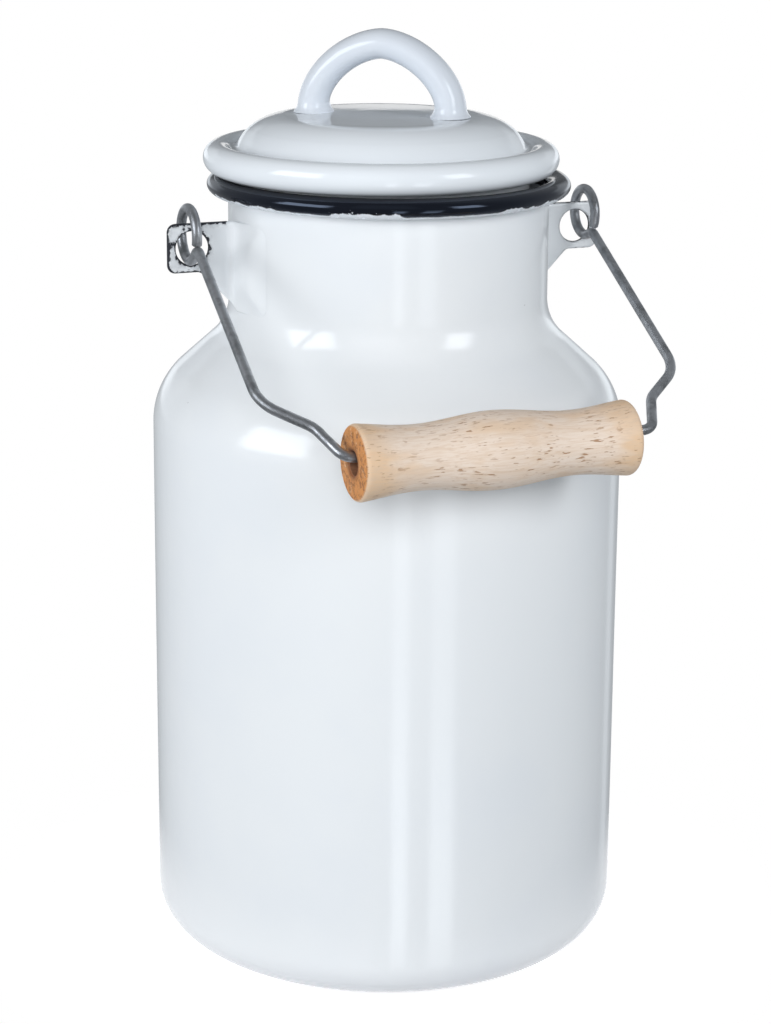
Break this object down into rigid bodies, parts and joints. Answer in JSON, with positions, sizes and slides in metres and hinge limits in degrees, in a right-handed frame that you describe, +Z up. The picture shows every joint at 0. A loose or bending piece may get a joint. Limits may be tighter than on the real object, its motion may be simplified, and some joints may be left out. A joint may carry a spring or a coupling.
{
  "type": "milk can",
  "caption": "Round enamelled steel milk can with a shouldered neck, a loose domed lid with a bow handle, and a wire bail with a turned wooden grip.",
  "frame": {"origin": "middle of the flat underside of the base, on the surface that the can stands on", "axes": "+Z up along the can's axis; X through the two ears and along the bail's hinge line; -Y towards the side on which the bail hangs"},
  "size_m": [0.135, 0.1582, 0.2644],
  "materials": {
    "white_enamel": "glossy white vitreous enamel with a cool tint",
    "black_enamel": "glossy blue-black vitreous enamel",
    "steel_wire": "drawn steel wire, dull grey",
    "beech": "turned beech, raw and fine-sanded"
  },
  "bodies": {
    "can": {"can_body": "white_enamel", "base_pan": "white_enamel", "mouth_rim": "black_enamel", "left_ear": "white_enamel", "right_ear": "white_enamel"},
    "bail": {"bail_wire": "steel_wire"},
    "grip": {"wooden_grip": "beech"},
    "lid": {"lid_dome": "white_enamel", "lid_skirt": "white_enamel", "lid_bow": "white_enamel"}
  },
  "joints": [
    {"name": "bail_swing", "type": "hinge", "parent": "can", "child": "bail", "pos_m": [0, -0.00335, 0.21004], "axis": [-1, 0, 0], "range_deg": [0, 238.3]},
    {"name": "grip_spin", "type": "hinge", "parent": "bail", "child": "grip", "pos_m": [0, -0.0802, 0.16396], "axis": [1, 0, 0], "continuous": true},
    {"name": "lid_lift", "type": "slide", "parent": "can", "child": "lid", "axis": [0, 0, 1], "range_m": [0, 0.06]}
  ]
}
